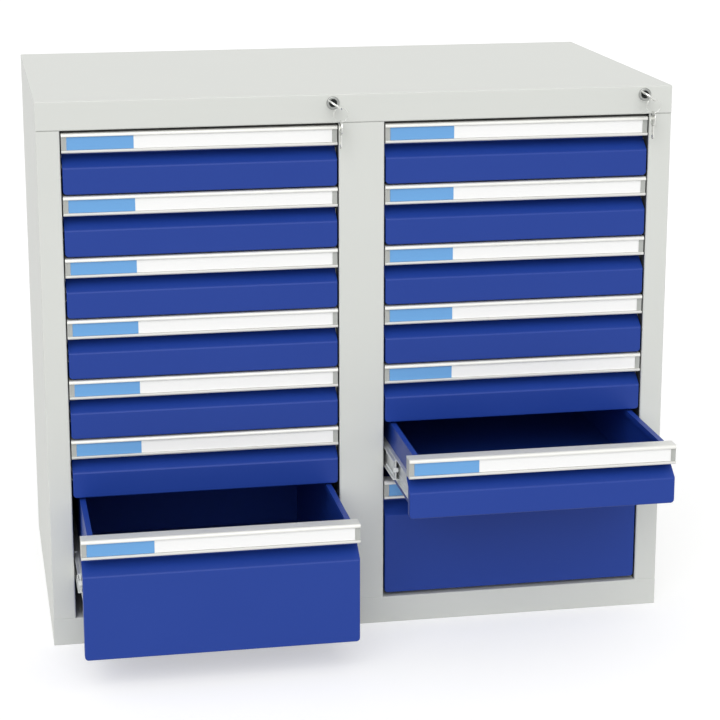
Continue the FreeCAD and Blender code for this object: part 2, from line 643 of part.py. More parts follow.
def lock_bar(bay):
    """Sliding bar behind the bay's right wall: slotted head at the cam, a hook per drawer."""
    wall = BAY_RIGHT[bay]
    near = wall + CARCASS_SHEET + BAR_GAP
    x = (near, near + BAR_THICKNESS)
    pin_x, pin_z = pin_place(bay)
    top = pin_z + HEAD_HALF_HEIGHT
    bar = block(x, (BAR_FRONT, BAR_FRONT + BAR_WIDTH), (BOTTOM_BAND + BAR_FOOT_GAP, top))
    head_left = LOCK_X[bay] - PIN_OFFSET - PIN_RADIUS - HEAD_HALF_HEIGHT / 2
    head = block((head_left, x[1]), (BAR_FRONT, BAR_FRONT + HEAD_THICKNESS),
                 (pin_z - HEAD_HALF_HEIGHT, top))
    room = PIN_RADIUS + HEAD_SLOT_CLEARANCE
    slot = block((LOCK_X[bay] - PIN_OFFSET - room, pin_x + room),
                 (BAR_FRONT - HEAD_THICKNESS, BAR_FRONT + 2 * HEAD_THICKNESS),
                 (pin_z - room, pin_z + room))
    hooks = []
    for hook_bay, number, bottom, pitch, rail_drop in drawer_layout():
        if hook_bay == bay:
            low = hook_bottom(bottom, pitch)
            hooks.append(block((wall - HOOK_REACH, x[1]), (HOOK_FRONT, HOOK_FRONT + HOOK_WIDTH),
                               (low, low + HOOK_THICKNESS)))
    return joined([bar, head] + hooks).cut(slot)


# ---------------------------------------------------------------- write the sub-parts
os.makedirs("parts", exist_ok=True)

save("side_panel_left", side_panel())
save("side_panel_right", mirrored(side_panel()))
save("runner_panels", runner_panel(),
     mirrored(runner_panel()).cut(hook_slots(BAY_RIGHT["right"])))
save("centre_partition", centre_partition())
save("top_cover", top_cover())
save("base_pan", base_pan())
save("rear_panel", rear_panel())

wall_rails = []
for bay, number, bottom, pitch, rail_drop in drawer_layout():
    name = bay + "_" + str(number)
    pulled = Vector(0, -OPEN_DRAWERS.get((bay, number), 0.0), 0)
    rail_low = rim_height(bottom, pitch) - rail_drop - RAIL_HEIGHT
    wall_rails += [rail_channel(bay, on_right, False, rail_low) for on_right in (False, True)]
    middle_rails = [middle_rail(bay, on_right, rail_low) for on_right in (False, True)]
    shell = [drawer_shell(bay, bottom, pitch)]
    shell += [drawer_member(bay, on_right, rail_low, crease_height(bottom, pitch))
              for on_right in (False, True)]
    grip = handle(bay, bottom, pitch)
    for solid in shell + grip:
        solid.translate(pulled)
    for solid in middle_rails:
        solid.translate(pulled / 2)
    save("drawer_" + name, *shell)
    save("handle_" + name, *grip)
    save("middle_rails_" + name, *middle_rails)
save("wall_rails", *wall_rails)

save("lock_housings", *(lock_housing("left") + lock_housing("right")))
for bay in ("left", "right"):
    save("lock_plug_" + bay, lock_plug(bay))
    save("key_" + bay, lock_key(bay))
    save("key_ring_" + bay, *key_ring(bay))
    save("lock_bar_" + bay, lock_bar(bay))
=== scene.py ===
import json
import math

import bpy
from mathutils import Matrix, Vector


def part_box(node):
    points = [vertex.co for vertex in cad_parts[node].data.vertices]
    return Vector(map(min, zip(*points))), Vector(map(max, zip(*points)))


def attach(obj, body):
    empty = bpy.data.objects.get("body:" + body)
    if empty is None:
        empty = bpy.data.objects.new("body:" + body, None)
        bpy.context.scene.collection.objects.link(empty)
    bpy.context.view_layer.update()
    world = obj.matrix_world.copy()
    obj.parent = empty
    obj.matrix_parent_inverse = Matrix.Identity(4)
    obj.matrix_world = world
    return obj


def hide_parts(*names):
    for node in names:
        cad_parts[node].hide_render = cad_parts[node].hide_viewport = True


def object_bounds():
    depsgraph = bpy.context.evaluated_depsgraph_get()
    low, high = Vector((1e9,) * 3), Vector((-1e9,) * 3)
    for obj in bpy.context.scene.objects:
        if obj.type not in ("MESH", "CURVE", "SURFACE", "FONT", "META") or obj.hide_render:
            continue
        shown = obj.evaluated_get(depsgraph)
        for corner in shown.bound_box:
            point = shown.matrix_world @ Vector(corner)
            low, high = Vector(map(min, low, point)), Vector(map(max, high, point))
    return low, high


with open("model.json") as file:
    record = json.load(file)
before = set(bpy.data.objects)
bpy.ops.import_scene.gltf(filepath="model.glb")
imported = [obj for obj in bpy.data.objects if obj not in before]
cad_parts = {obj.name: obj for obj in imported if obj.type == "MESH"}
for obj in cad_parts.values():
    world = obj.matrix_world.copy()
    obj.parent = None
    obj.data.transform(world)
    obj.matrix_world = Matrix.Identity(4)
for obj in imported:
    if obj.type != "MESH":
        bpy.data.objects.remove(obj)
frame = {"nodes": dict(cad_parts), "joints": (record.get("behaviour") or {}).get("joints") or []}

cad_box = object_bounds()

# ---------------------------------------------------------------- carcass sheets
# Folded steel sheets: sides, runner panels, centre partition, top cover, base pan and ribbed
# back. They are welded and powder-coated light grey, with soft folds and cut edges. Inside the
# bays the coat is coloured dark grey as painted shade, so that the gaps read dark.


class Term:
    """One value of a shader, so that its maths can be written as a sum."""

    def __init__(self, finish, socket):
        self.finish = finish
        self.socket = socket

    def maths(self, operation, first, second):
        values = {0: first, 1: second}
        return self.finish.node("Math", {"operation": operation}, values)["Value"]

    def __add__(self, other):
        return self.maths("ADD", self, other)

    def __radd__(self, other):
        return self.maths("ADD", other, self)

    def __sub__(self, other):
        return self.maths("SUBTRACT", self, other)

    def __rsub__(self, other):
        return self.maths("SUBTRACT", other, self)

    def __mul__(self, other):
        return self.maths("MULTIPLY", self, other)

    def __rmul__(self, other):
        return self.maths("MULTIPLY", other, self)

    def __gt__(self, other):
        return self.maths("GREATER_THAN", self, other)

    def __lt__(self, other):
        return self.maths("LESS_THAN", self, other)


class Finish:
    """A surface finish, built up from nodes behind one Principled shader."""

    def __init__(self, name, constants):
        self.material = bpy.data.materials.new(name)
        self.material.use_nodes = True
        self.tree = self.material.node_tree
        self.shader = self.tree.nodes["Principled BSDF"]
        self.feed(self.shader, constants)

    def feed(self, node, sockets):
        """Gives sockets, named or counted, their values or links."""
        for key, value in sockets.items():
            found = [s for s in node.inputs if key in (s.identifier, s.name)]
            socket = node.inputs[key] if isinstance(key, int) else found[0]
            if isinstance(value, Term):
                self.tree.links.new(value.socket, socket)
            else:
                socket.default_value = value

    def node(self, kind, settings=None, sockets=None):
        """Adds one node and gives its outputs by name."""
        made = self.tree.nodes.new("ShaderNode" + kind)
        for key, value in (settings or {}).items():
            setattr(made, key, value)
        self.feed(made, sockets or {})
        return {o.identifier: Term(self, o) for o in made.outputs}

    def place(self):
        """Object coordinates, which are the cabinet's own axes in metres."""
        return self.node("TexCoord")["Object"]

    def noise(self, scale, detail, stretch=None):
        """Noise about 0.5, `scale` patches in a metre, times `stretch` along each axis."""
        place = self.place()
        if stretch:
            place = self.node("Mapping", sockets={"Vector": place, "Scale": stretch})["Vector"]
        return self.node("TexNoise", sockets={"Vector": place, "Scale": scale,
                                              "Detail": detail})["Fac"]

    def blend(self, factor, first, second):
        """A colour between two colours."""
        return self.node("Mix", {"data_type": "RGBA"},
                         {"Factor_Float": factor, "A_Color": first, "B_Color": second}
                         )["Result_Color"]

    def surface(self, sockets):
        """Feeds the surface shader."""
        self.feed(self.shader, sockets)

    def relief(self, height, depth):
        """Raises the surface by height (0 to 1) times depth in metres."""
        bump = self.node("Bump", sockets={"Height": height, "Distance": depth, "Strength": 1.0})
        self.surface({"Normal": bump["Normal"]})


def paint(red, green, blue):
    """Linear colour of an 8-bit screen colour."""
    values = [((v / 255 + 0.055) / 1.055) ** 2.4 for v in (red, green, blue)]
    return (*values, 1)


def powder_coat(name, light, dark, roughness, shine):
    """Powder coat: patches that are hardly seen, and a fine orange-peel texture."""
    coat = Finish(name, {"IOR": 1.45, "Specular IOR Level": shine})
    cloud = coat.noise(scale=6.0, detail=3.0)
    peel = coat.noise(scale=900.0, detail=1.0)
    grain = coat.noise(scale=2600.0, detail=1.0)
    coat.colour = coat.blend(cloud * (1 - GRAIN_SHARE) + grain * GRAIN_SHARE, dark, light)
    coat.surface({"Base Color": coat.colour,
                  "Roughness": roughness + CLOUD_GLOSS * (cloud - 0.5)
                  + GRAIN_GLOSS * (grain - 0.5)})
    coat.relief(peel * (1 - GRAIN_SHARE) + grain * GRAIN_SHARE, depth=0.000025)
    return coat


def paint_shade_inside(coat, shade_colour):
    """Colours the coat dark grey inside the carcass, as painted shade in the bays and gaps."""
    axes = coat.node("SeparateXYZ", sockets={"Vector": coat.place()})
    inside = 1.0
    for axis, low, high in zip("XYZ", INSIDE_LOW, INSIDE_HIGH):
        inside = (axes[axis] > low) * (axes[axis] < high) * inside
    coat.surface({"Base Color": coat.blend(inside, coat.colour, shade_colour)})


def select_only(piece):
    """Makes one piece the only selected and active object."""
    bpy.ops.object.select_all(action="DESELECT")
    piece.select_set(True)
    bpy.context.view_layer.objects.active = piece


def merged_copy(node):
    """Copy of a CAD node's mesh, with its triangles joined into whole faces."""
    piece = bpy.data.objects.new(node + "_finished", frame["nodes"][node].data.copy())
    bpy.context.scene.collection.objects.link(piece)
    piece.data.materials.clear()
    select_only(piece)
    bpy.ops.object.mode_set(mode="EDIT")
    bpy.ops.mesh.select_all(action="SELECT")
    bpy.ops.mesh.remove_doubles(threshold=MERGE_DISTANCE)
    bpy.ops.mesh.dissolve_limited(angle_limit=FLAT_ANGLE)
    bpy.ops.mesh.select_all(action="DESELECT")
    bpy.ops.object.mode_set(mode="OBJECT")
    return piece


def soften(piece, width, segments=2):
    """Rounds every sharp edge."""
    select_only(piece)
    bevel = piece.modifiers.new("Softened", "BEVEL")
    bevel.width = width
    bevel.segments = segments
    bevel.limit_method = "ANGLE"
    bevel.angle_limit = SHARP_ANGLE
    bevel.miter_outer = "MITER_ARC"
    bpy.ops.object.modifier_apply(modifier=bevel.name)


def finish_piece(piece, material, body, nodes=()):
    """Smooths a piece, gives it its material and hangs it on its body."""
    select_only(piece)
    bpy.ops.object.shade_smooth_by_angle(angle=SMOOTH_ANGLE)
    even = piece.modifiers.new("Even", "WEIGHTED_NORMAL")
    even.keep_sharp = True
    bpy.ops.object.modifier_apply(modifier=even.name)
    piece.data.materials.clear()
    piece.data.materials.append(material)
    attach(piece, body)
    if nodes:
        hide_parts(*nodes)


GRAIN_SHARE = 0.2            # of the grains in the coat's shade and relief
CLOUD_GLOSS = 0.08           # how far the patches change the roughness
GRAIN_GLOSS = 0.05
INSIDE_LOW = (-0.5138, -0.2960, 0.0465)      # takes in the sheets' faces round the bays,
INSIDE_HIGH = (0.5138, 0.2924, 0.8988)       # from behind the front to the back's ribs
CARCASS_COAT = powder_coat("carcass_powder_coat", paint(219, 221, 216), paint(214, 216, 211),
                           roughness=0.42, shine=0.35)
# painted shade: the coat is coloured dark grey on the faces inside the bays
paint_shade_inside(CARCASS_COAT, shade_colour=paint(72, 74, 73))
MERGE_DISTANCE = 0.000002
FLAT_ANGLE = math.radians(0.3)
SHARP_ANGLE = math.radians(30)
SMOOTH_ANGLE = math.radians(32)
EDGE_SOFTNESS = 0.0004

for node in ("side_panel_left", "side_panel_right", "runner_panels", "centre_partition",
             "top_cover", "base_pan", "rear_panel"):
    sheet = merged_copy(node)
    soften(sheet, EDGE_SOFTNESS)
    finish_piece(sheet, CARCASS_COAT.material, "carcass", [node])

# ---------------------------------------------------------------- slides
# Telescopic slides of bright zinc-plated strip. A channel is fixed to the bay wall, one
# to the drawer, and an I-shaped middle rail runs between them on two rows of balls, which
# punched cages keep apart. A bent lug at the front of the middle rail stops the travel.


def zinc_plate(name):
    """Bright zinc: a faint rolling grain and slightly cloudy shine."""
    zinc = Finish(name, {"Metallic": 0.65})
    grain = zinc.noise(scale=90.0, detail=2.0, stretch=(14.0, 1.0, 14.0))
    cloud = zinc.noise(scale=30.0, detail=3.0)
    zinc.surface({"Base Color": zinc.blend(cloud, paint(216, 219, 219), paint(238, 240, 239)),
                  "Roughness": 0.28 + 0.16 * cloud + 0.1 * grain})
    zinc.relief(grain, depth=0.00001)
    return zinc.material


def on_faces(piece, rule, operator, **settings):
    """Runs an edit-mode operator on the faces whose centre and normal pass the rule."""
    run_on(piece, piece.data.polygons, (False, False, True),
           lambda face: rule(face.center, face.normal), operator, settings)


def on_edges(piece, rule, operator, **settings):
    """Runs an edit-mode operator on the edges whose two ends pass the rule."""
    points = piece.data.vertices
    run_on(piece, piece.data.edges, (False, True, False),
           lambda edge: all(rule(points[i].co) for i in edge.vertices), operator, settings)


def run_on(piece, parts, mode, rule, operator, settings):
    """Selects the parts of a mesh that pass the rule, and runs the operator on them."""
    select_only(piece)
    bpy.context.tool_settings.mesh_select_mode = mode
    for kind in (piece.data.vertices, piece.data.edges, piece.data.polygons):
        kind.foreach_set("select", [False] * len(kind))
    for part in parts:
        part.select = rule(part)
    bpy.ops.object.mode_set(mode="EDIT")
    operator(**settings)
    bpy.ops.object.mode_set(mode="OBJECT")


def push(piece, rule, x=0.0, y=0.0, z=0.0):
    """Extrudes the faces that pass the rule."""
    on_faces(piece, rule, bpy.ops.mesh.extrude_region_move,
             TRANSFORM_OT_translate={"value": (x, y, z)})


def slice_at(piece, places, axis):
    """Cuts the whole mesh at each place along an axis."""
    for place in places:
        on_faces(piece, lambda centre, normal: True, bpy.ops.mesh.bisect,
                 plane_co=AXIS[axis] * place, plane_no=AXIS[axis])


def round_off(piece, rule, radius, segments):
    """Rounds the edges whose ends pass the rule."""
    on_edges(piece, rule, bpy.ops.mesh.bevel, offset=radius, segments=segments,
             affect="EDGES", profile=0.5)


def new_box(name, low, high):
    """A box between two corners, with its object at the origin."""
    bpy.ops.object.select_all(action="DESELECT")
    low, high = Vector(low), Vector(high)
    bpy.ops.mesh.primitive_cube_add(size=1, location=(low + high) / 2, scale=high - low)
    return settled(name)


def new_disc(name, centre, radius, depth, sides, axis="Y"):
    """A short round bar along an axis, with its object at the origin."""
    bpy.ops.object.select_all(action="DESELECT")
    turn = {"X": (0, math.pi / 2, 0), "Y": (math.pi / 2, 0, 0), "Z": (0, 0, 0)}[axis]
    bpy.ops.mesh.primitive_cylinder_add(vertices=sides, radius=radius, depth=depth,
                                        location=centre, rotation=turn)
    return settled(name)


def settled(name):
    """Names the new piece and puts its place, turn and size into its mesh."""
    piece = bpy.context.object
    piece.name = name
    bpy.ops.object.transform_apply(location=True, rotation=True, scale=True)
    return piece


def twin(piece, name, offset):
    """Copy of a piece with its own mesh, moved by the offset."""
    mesh = piece.data.copy()
    mesh.transform(Matrix.Translation(offset))
    other = bpy.data.objects.new(name, mesh)
    bpy.context.scene.collection.objects.link(other)
    return other


def joined(pieces):
    """Joins pieces into the first."""
    bpy.ops.object.select_all(action="DESELECT")
    for piece in pieces:
        piece.select_set(True)
    bpy.context.view_layer.objects.active = pieces[0]
    bpy.ops.object.join()
    return pieces[0]


def near(value, place):
    """True where a coordinate is at a place."""
    return abs(value - place) < TOUCH


def offset_of(node, first):
    """How far a CAD node lies from the first one of its kind."""
    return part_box(node)[0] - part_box(first)[0]


TOUCH = 0.00002
FACING = 0.9                 # least part of a normal along an axis that counts as facing it
SQUARE = 0.99                # the same, where a rounding beside the face must not count
AXIS = {"x": Vector((1, 0, 0)), "y": Vector((0, 1, 0)), "z": Vector((0, 0, 1))}
ZINC = zinc_plate("bright_zinc")
BAYS = ("left", "right")
LOW_DRAWERS = (1, 2, 3, 4, 5, 6)
TALL_DRAWERS = (7,)
DRAWERS = [(bay, number) for bay in BAYS for number in LOW_DRAWERS + TALL_DRAWERS]

RAIL_FOLD = 0.0004
MIDDLE_RAIL_FOLD = 0.0003
MIDDLE_RAIL_WIDTH = 0.0100
BALL_RADIUS = 0.0016
BALL_STEP = 0.009
BALLS = 6
BALL_EDGE = 0.0056           # row of balls from the edge of the middle rail
CAGE_THICKNESS = 0.0005
CAGE_HALF = 0.0026
CAGE_FRONT = 0.020           # first ball behind the front of the middle rail
CAGE_ASIDE = 0.0019          # cage from the middle of the rail's web
WEB_HALF = 0.0005            # half the thickness of that web
LUG_FACE = 0.0017            # face of the lug from the middle of the web
LUG_SETBACK = 0.0005         # lug behind the front of the middle rail
LUG_LENGTH = 0.014
LUG_HALF = 0.0035
LUG_FOLD = 0.0020            # where the end of the lug is bent out
LUG_STOP = 0.0024            # how far it is bent out
RIVET_REACHES = (0.0060, 0.0108)
RIVET_RADIUS = 0.0022
RIVET_LENGTH = 0.0008
RIVET_ASIDE = 0.0020         # middle of a rivet from the middle of the web
SMALL_ROUND = 0.0003         # rounding of the lug's end and of its rivets

rails = merged_copy("wall_rails")
soften(rails, RAIL_FOLD)
finish_piece(rails, ZINC, "carcass", ["wall_rails"])


def ball_cages(low, high):
    """Punched strips with their balls along the top and bottom of a middle rail's web."""
    middle = (low.x + high.x) / 2
    back = low.y + CAGE_FRONT + (BALLS - 0.5) * BALL_STEP
    parts = []
    for side in (-1, 1):
        strip_x = middle + side * CAGE_ASIDE
        for ball_z in (low.z + BALL_EDGE, high.z - BALL_EDGE):
            parts.append(new_box("cage", (strip_x - CAGE_THICKNESS / 2, low.y + CAGE_FRONT / 2,
                                          ball_z - CAGE_HALF),
                                 (strip_x + CAGE_THICKNESS / 2, back, ball_z + CAGE_HALF)))
            for i in range(BALLS):
                bpy.ops.object.select_all(action="DESELECT")
                bpy.ops.mesh.primitive_uv_sphere_add(
                    segments=12, ring_count=8, radius=BALL_RADIUS,
                    location=(strip_x, low.y + CAGE_FRONT + i * BALL_STEP, ball_z))
                parts.append(settled("ball"))
    return joined(parts)


def stop_lugs(low, high):
    """Bent lug and its two rivets at the front of a middle rail, on both sides of the web."""
    middle = (low.x + high.x) / 2
    height = (low.z + high.z) / 2
    parts = []
    for side in (-1, 1):
        near_x, far_x = sorted((middle + side * WEB_HALF, middle + side * LUG_FACE))
        plate = new_box("lug", (near_x, low.y + LUG_SETBACK, height - LUG_HALF),
                        (far_x, low.y + LUG_LENGTH, height + LUG_HALF))
        slice_at(plate, (low.y + LUG_FOLD,), "y")
        push(plate, lambda centre, normal: normal.x * side > FACING
             and centre.y < low.y + LUG_FOLD, x=side * LUG_STOP)
        round_off(plate, lambda p: near(p.y, low.y + LUG_LENGTH), SMALL_ROUND, 2)
        parts.append(plate)
        for reach in RIVET_REACHES:
            rivet = new_disc("rivet", (middle + side * RIVET_ASIDE, low.y + reach, height),
                             RIVET_RADIUS, RIVET_LENGTH, 16, "X")
            round_off(rivet, lambda p: (p.x - middle) * side > RIVET_ASIDE, SMALL_ROUND, 2)
            parts.append(rivet)
    return joined(parts)


FIRST_RAIL = "middle_rails_left_1"
rail_low, rail_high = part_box(FIRST_RAIL)
left_end = (rail_low, Vector((rail_low.x + MIDDLE_RAIL_WIDTH, rail_high.y, rail_high.z)))
right_end = (Vector((rail_high.x - MIDDLE_RAIL_WIDTH, rail_low.y, rail_low.z)), rail_high)
cages = joined([ball_cages(*left_end), ball_cages(*right_end)])
lugs = joined([stop_lugs(*left_end), stop_lugs(*right_end)])

for bay, number in DRAWERS:
    node = f"middle_rails_{bay}_{number}"
    rail = merged_copy(node)
    soften(rail, MIDDLE_RAIL_FOLD)
    finish_piece(rail, ZINC, node, [node])
    offset = offset_of(node, FIRST_RAIL)
    finish_piece(twin(cages, node + "_balls", offset), ZINC, node)
    finish_piece(twin(lugs, node + "_lugs", offset), ZINC, node)
bpy.data.objects.remove(cages)
bpy.data.objects.remove(lugs)

# ---------------------------------------------------------------- drawers
# Each drawer is pressed and folded from blue powder-coated sheet: the front with its
# set-back grip, slope and crease, the floor, the sides with their rolled rims, and the back.
# Its slide members and the lock's catch are fixed to the sides.
DRAWER_COAT = powder_coat("drawer_powder_coat", paint(34, 65, 152), paint(28, 60, 147),
                          roughness=0.38, shine=0.32)
FACE_FOLD = 0.0020
FACE_CORNER = 0.0065         # top of the front's lower corners above its edge
MEMBER_SHEET = 0.0012
MEMBER_END = 0.1             # the web's long face is centred further in than this
BEAD_MARGIN = 0.0085         # flat web round the bead
BEAD_HALF = 0.008
BEAD_WALL = 0.0010
BEAD_DEPTH = 0.0009
RIVET_PLACES = (0.045, 0.165, 0.285, 0.405)
HEAD_RADIUS = 0.0033
HEAD_LENGTH = 0.0015
HEAD_RISE = 0.0005


def loose_parts(piece):
    """Splits a piece into its separate solids."""
    select_only(piece)
    bpy.ops.object.mode_set(mode="EDIT")
    bpy.ops.mesh.select_all(action="SELECT")
    bpy.ops.mesh.separate(type="LOOSE")
    bpy.ops.object.mode_set(mode="OBJECT")
    return list(bpy.context.selected_objects)


def mesh_box(piece):
    """The two corners of a piece's mesh."""
    points = [point.co for point in piece.data.vertices]
    return [Vector(pick(point[i] for point in points) for i in range(3)) for pick in (min, max)]


def fastened_member(member, middle):
    """A slide member with a bead pressed into its web and the rivets that hold it."""
    low, high = mesh_box(member)
    side = -1 if low.x < middle else 1
    web = (high.x if side < 0 else low.x) + side * MEMBER_SHEET
    height = (low.z + high.z) / 2

    def on_web(centre, normal):
        return (normal.x * side > FACING and near(centre.x, web)
                and low.y + MEMBER_END < centre.y < high.y - MEMBER_END
                and abs(centre.z - height) < BEAD_HALF)

    on_faces(member, on_web, bpy.ops.mesh.inset, thickness=BEAD_MARGIN)
    on_faces(member, on_web, bpy.ops.mesh.inset, thickness=BEAD_WALL, depth=-BEAD_DEPTH)
    soften(member, RAIL_FOLD)
    rivets = []
    for reach in RIVET_PLACES:
        rivet = new_disc("rivet", (web + side * (HEAD_RISE - HEAD_LENGTH / 2), low.y + reach,
                                   height), HEAD_RADIUS, HEAD_LENGTH, 20, "X")
        round_off(rivet, lambda p: (p.x - web) * side > 0, HEAD_RISE, 3)
        rivets.append(rivet)
    return joined([member, *rivets])


def finished_drawer(node):
    """The painted shell and the two zinc slide members of one drawer."""
    parts = loose_parts(merged_copy(node))
    parts.sort(key=lambda part: part.dimensions.x)
    shell, members = parts[-1], parts[:-1]
    low, high = mesh_box(shell)
    round_off(shell, lambda p: near(p.y, low.y) and (near(p.x, low.x) or near(p.x, high.x)
                                                     or p.z < low.z + FACE_CORNER),
              FACE_FOLD, 4)
    soften(shell, EDGE_SOFTNESS)
    shell.name = node + "_shell"
    middle = (low.x + high.x) / 2
    rails = joined([fastened_member(member, middle) for member in members])
    rails.name = node + "_slides"
    return shell, rails


for numbers in (LOW_DRAWERS, TALL_DRAWERS):
    first = f"drawer_left_{numbers[0]}"
    shell, rails = finished_drawer(first)
    for bay in BAYS:
        for number in numbers:
            node = f"drawer_{bay}_{number}"
            offset = offset_of(node, first)
            box = shell if node == first else twin(shell, node + "_shell", offset)
            members = rails if node == first else twin(rails, node + "_slides", offset)
            finish_piece(box, DRAWER_COAT.material, node, [node])
            finish_piece(members, ZINC, node)

# ---------------------------------------------------------------- handles
# Each grip is a strip of extruded aluminium, satin anodised, seated on the set-back top of
# its drawer's front. A two-colour label strip slides in between its two rounded lips, and
# grey moulded blocks with upright ribs close both ends.


def anodised(name):
    """Satin anodised aluminium: fine lines along the extrusion."""
    metal = Finish(name, {"Metallic": 0.35})
    lines = metal.noise(scale=800.0, detail=1.0, stretch=(0.004, 1.0, 1.0))
    cloud = metal.noise(scale=12.0, detail=2.0)
    metal.surface({"Base Color": metal.blend(cloud, paint(222, 222, 216), paint(232, 232, 228)),
                   "Roughness": 0.36 + 0.14 * lines})
    metal.relief(lines, depth=0.000012)
    return metal.material


def card(name, light, dark):
    """Label card under a clear film: hardly seen fibres and a soft gloss."""
    paper = Finish(name, {"IOR": 1.45, "Coat Weight": 0.25, "Coat Roughness": 0.15})
    fibre = paper.noise(scale=1500.0, detail=3.0)
    paper.surface({"Base Color": paper.blend(fibre, dark, light),
                   "Roughness": 0.5 + 0.1 * fibre})
    paper.relief(fibre, depth=0.000006)
    return paper.material


def moulded(name, light, dark):
    """Moulded plastic with a fine spark-eroded grain."""
    plastic = Finish(name, {"IOR": 1.46})
    grain = plastic.noise(scale=1800.0, detail=2.0)
    plastic.surface({"Base Color": plastic.blend(grain, dark, light),
                     "Roughness": 0.45 + 0.15 * grain})
    plastic.relief(grain, depth=0.00002)
    return plastic.material


ALUMINIUM = anodised("satin_aluminium")
WHITE_CARD = card("white_label", paint(250, 250, 249), paint(246, 246, 245))
BLUE_CARD = card("blue_label", paint(108, 168, 224), paint(102, 162, 219))
GREY_PLASTIC = moulded("grey_end_block", paint(192, 194, 190), paint(182, 184, 180))

LIP_ABOVE = 0.0060
LIP_BELOW = 0.0048
LIP_EDGE = 0.0005            # rounding of the lips beside the label
WEB_SETBACK = 0.0040
GRIP_WALL = 0.0025
NOSE_ABOVE = 0.0048
NOSE_BELOW = 0.0028
FINE_EDGE = 0.0002
CAP_WIDTH = 0.0080
RIB_STRIPES = 7              # ribs and gaps of an end block
RIB_DEPTH = 0.0006
BLOCK_RISE = 0.0012          # end block in front of the web, between the lips
BLOCK_PLAY = 0.0001
CHEEK_SETBACK = 0.0012       # cheek behind the web, from the back of the flange
CHEEK_EDGE = 0.0005
END_PLAY = 0.0003
LABEL_BLUE = 0.105
LABEL_THICKNESS = 0.0014
LABEL_PLAY = 0.0004
LABEL_EDGE = 0.00025

FIRST_GRIP = "handle_left_1"
grip_low, grip_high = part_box(FIRST_GRIP)
label_foot = grip_low.z + LIP_BELOW
label_top = grip_high.z - LIP_ABOVE
web_front = grip_low.y + WEB_SETBACK
web_back = web_front + GRIP_WALL
inner_left = grip_low.x + CAP_WIDTH
inner_right = grip_high.x - CAP_WIDTH
blue_end = inner_left + LABEL_BLUE


def lipped(grip):
    """Sinks the front between two lips, open at both ends, and rounds their noses."""
    slice_at(grip, (label_foot, label_top), "z")
    slice_at(grip, (web_front,), "y")
    push(grip, lambda centre, normal: normal.y < -FACING and label_foot < centre.z < label_top,
         y=WEB_SETBACK)
    on_faces(grip, lambda centre, normal: abs(normal.x) > FACING and centre.y < web_front
             and label_foot < centre.z < label_top, bpy.ops.mesh.delete, type="FACE")
    on_faces(grip, lambda centre, normal: True, bpy.ops.mesh.remove_doubles,
             threshold=MERGE_DISTANCE)
    on_faces(grip, lambda centre, normal: True, bpy.ops.mesh.dissolve_limited,
             angle_limit=FLAT_ANGLE)
    for heights, radius, segments in (((grip_high.z,), NOSE_ABOVE, 8),
                                      ((grip_low.z,), NOSE_BELOW, 6),
                                      ((label_foot, label_top), LIP_EDGE, 3)):
        round_off(grip, lambda p: near(p.y, grip_low.y)
                  and any(near(p.z, height) for height in heights), radius, segments)


def finished_grip():
    """The extruded strip: web with its two lips, and the flange on top."""
    grip = new_box("handle_strip", grip_low, (grip_high.x, web_back, grip_high.z))
    slice_at(grip, (grip_high.z - GRIP_WALL,), "z")
    push(grip, lambda centre, normal: normal.y > FACING and centre.z > grip_high.z - GRIP_WALL,
         y=grip_high.y - web_back)
    lipped(grip)
    soften(grip, FINE_EDGE)
    return grip


def finished_cap(name, left, right):
    """One end block: a ribbed face between the lips, and a cheek behind the web."""
    face = new_box(name, (left + END_PLAY, web_front - BLOCK_RISE, label_foot + BLOCK_PLAY),
                   (right - END_PLAY, web_front, label_top - BLOCK_PLAY))
    step = (right - left - 2 * END_PLAY) / RIB_STRIPES
    slice_at(face, [left + END_PLAY + step * i for i in range(1, RIB_STRIPES)], "x")
    push(face, lambda centre, normal: normal.y < -FACING
         and round((centre.x - left - END_PLAY) / step - 0.5) % 2 == 0, y=-RIB_DEPTH)
    soften(face, FINE_EDGE)
    cheek = new_box(name + "_cheek", (left, web_back, grip_low.z),
                    (right, grip_high.y - CHEEK_SETBACK, grip_high.z - GRIP_WALL))
    soften(cheek, CHEEK_EDGE, 3)
    return joined([face, cheek])


def finished_label(name, left, right):
    """One stretch of the label strip, lying on the web."""
    label = new_box(name, (left, web_front - LABEL_THICKNESS, label_foot + LABEL_PLAY),
                    (right, web_front, label_top - LABEL_PLAY))
    soften(label, LABEL_EDGE)
    return label


handle_parts = {
    "strip": (finished_grip(), ALUMINIUM),
    "left_cap": (finished_cap("left_cap", grip_low.x, inner_left), GREY_PLASTIC),
    "right_cap": (finished_cap("right_cap", inner_right, grip_high.x), GREY_PLASTIC),
    "blue_label": (finished_label("blue_label", inner_left + LABEL_PLAY, blue_end), BLUE_CARD),
    "white_label": (finished_label("white_label", blue_end, inner_right - LABEL_PLAY),
                    WHITE_CARD)}
for bay, number in DRAWERS:
    node = f"handle_{bay}_{number}"
    body = f"drawer_{bay}_{number}"
    for name, (part, material) in handle_parts.items():
        piece = twin(part, f"{node}_{name}", offset_of(node, FIRST_GRIP))
        finish_piece(piece, material, body,
                     [node] if name == "strip" else ())
for part, material in handle_parts.values():
    bpy.data.objects.remove(part)

# ---------------------------------------------------------------- locks
# Each bay has a nickel-plated cam lock, clamped in the top band between its domed flange
# and a hexagon nut. Its plug turns with the cam arm and pin, and the pin slides the
# zinc-plated steel lock bar, whose hooks bar the drawers.


def nickel_plate(name, light, dark):
    """Bright nickel: fine turning marks and small stains from handling."""
    nickel = Finish(name, {"Metallic": 1.0})
    marks = nickel.noise(scale=500.0, detail=2.0)
    stain = nickel.noise(scale=120.0, detail=3.0)
    nickel.surface({"Base Color": nickel.blend(stain, dark, light),
                    "Roughness": 0.12 + 0.14 * stain + 0.08 * marks})
    nickel.relief(marks, depth=0.000006)
    return nickel.material


